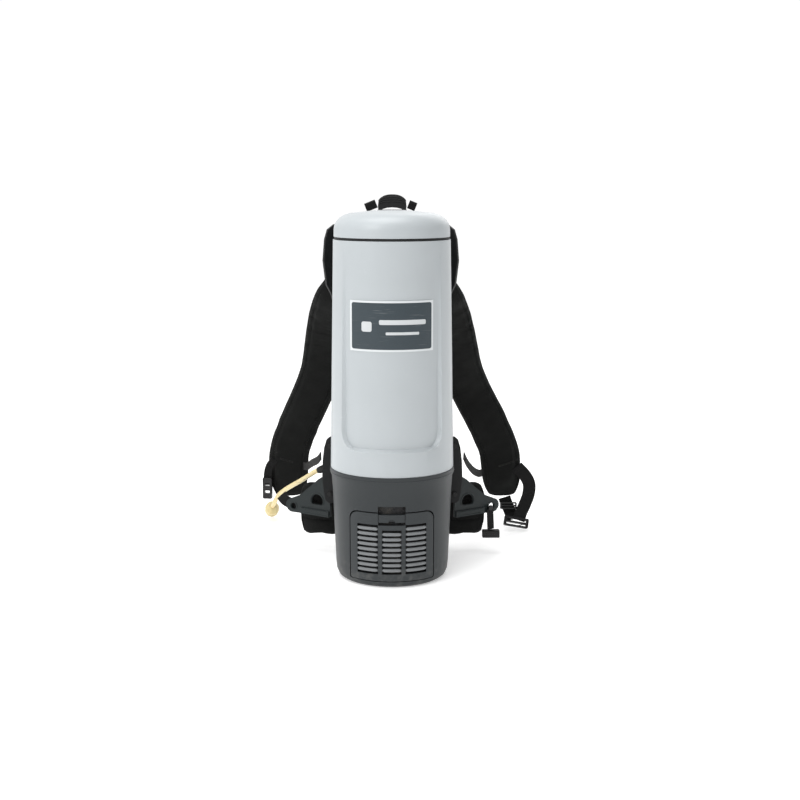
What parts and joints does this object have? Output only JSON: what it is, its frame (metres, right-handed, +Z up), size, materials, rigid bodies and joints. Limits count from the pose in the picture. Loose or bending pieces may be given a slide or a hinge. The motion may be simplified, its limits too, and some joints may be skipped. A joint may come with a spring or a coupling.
{
  "type": "backpack vacuum cleaner",
  "caption": "Canister vacuum cleaner worn on the back: domed lid, round grey shell, dark motor base with a louvred exhaust door, and a padded harness.",
  "frame": {"origin": "centre of the base's flat underside, on the floor", "axes": "+Z up along the canister's axis; the exhaust door faces -Y; the harness and the wearer are on the +Y side; +X is on the right seen from the front"},
  "size_m": [0.479, 0.4453, 0.5795],
  "materials": {
    "shell": "light grey moulded plastic, fine texture",
    "base": "dark grey moulded plastic, fine texture",
    "louvre": "dark grey moulded plastic",
    "frame": "black moulded plastic",
    "wing": "dark grey-green moulded plastic",
    "pad": "black woven cover over foam",
    "webbing": "black woven webbing",
    "buckle": "black acetal",
    "rubber": "black rubber",
    "screw": "zinc-plated steel",
    "brass": "brass",
    "cord": "cream PVC jacket",
    "plug": "tan moulded PVC",
    "collar": "pressed board",
    "label": "printed label, slate with a pale border",
    "bag": "filter fleece",
    "foam": "filter foam",
    "motor": "plated steel",
    "fan": "pressed aluminium"
  },
  "bodies": {
    "machine": {"main_shell": "shell", "base_housing": "base", "backplate": "frame", "flange_left": "frame", "flange_right": "frame", "motor_bulkhead": "frame", "hip_wing_left": "wing", "hip_wing_right": "wing", "shoulder_pad_left": "pad", "shoulder_pad_right": "pad", "back_pad": "pad", "lumbar_pad": "pad", "hip_pad_left": "pad", "hip_pad_right": "pad", "side_webbing_left": "webbing", "side_webbing_right": "webbing", "adjuster_webbing_left": "webbing", "adjuster_webbing_right": "webbing", "belt_webbing_left": "webbing", "belt_webbing_right": "webbing", "handle_foot": "webbing", "tail_webbing_right": "webbing", "ladder_lock_left": "buckle", "ladder_lock_right": "buckle", "triglide_right": "buckle", "belt_stud_right": "buckle", "belt_buckle_left": "buckle", "belt_buckle_right": "buckle", "strap_clamp_bar": "buckle", "switch_bezel": "buckle", "lid_gasket": "rubber", "motor_seal_ring": "rubber", "cord_gland": "rubber", "screw_left_upper": "screw", "screw_left_lower": "screw", "screw_right_upper": "screw", "screw_right_lower": "screw", "plug_blade_line": "brass", "plug_blade_neutral": "brass", "plug_earth_pin": "brass", "power_cord": "cord", "plug_body": "plug", "bag_collar": "collar", "label_plate": "label", "filter_bag": "bag", "pre_motor_filter": "foam", "exhaust_filter": "foam", "motor_can": "motor", "fan_housing": "motor"},
    "lid": {"lid_cap": "shell", "inlet_spigot": "frame"},
    "hose_collar": {"hose_swivel_collar": "rubber"},
    "exhaust_door": {"exhaust_door": "louvre"},
    "door_latch": {"door_latch": "base"},
    "handle": {"carry_handle": "rubber", "handle_tab_left": "webbing", "handle_tab_right": "webbing"},
    "rotor": {"motor_shaft": "fan", "fan_impeller": "fan"},
    "switch": {"switch_rocker": "frame"}
  },
  "joints": [
    {"name": "lid_lift", "type": "slide", "parent": "machine", "child": "lid", "axis": [0, 0, 1], "range_m": [0, 0.09]},
    {"name": "hose_swivel", "type": "hinge", "parent": "lid", "child": "hose_collar", "pos_m": [0, 0.04, 0.55], "axis": [0, 0, 1], "continuous": true},
    {"name": "door_hinge", "type": "hinge", "parent": "machine", "child": "exhaust_door", "pos_m": [0, -0.083, 0.012], "axis": [1, 0, 0], "range_deg": [0, 75]},
    {"name": "latch_slide", "type": "slide", "parent": "exhaust_door", "child": "door_latch", "axis": [0, 0, -1], "range_m": [0, 0.0035], "stiffness_N_per_m": 400},
    {"name": "handle_fold", "type": "hinge", "parent": "machine", "child": "handle", "pos_m": [0, 0.112, 0.548], "axis": [-1, 0, 0], "range_deg": [0, 80]},
    {"name": "fan_spin", "type": "hinge", "parent": "machine", "child": "rotor", "pos_m": [0, 0, 0.1], "axis": [0, 0, 1], "continuous": true},
    {"name": "switch_rock", "type": "hinge", "parent": "machine", "child": "switch", "pos_m": [0.07875, 0.03506, 0.05], "axis": [-0.4067, 0.9135, 0], "range_deg": [-8, 8]}
  ]
}
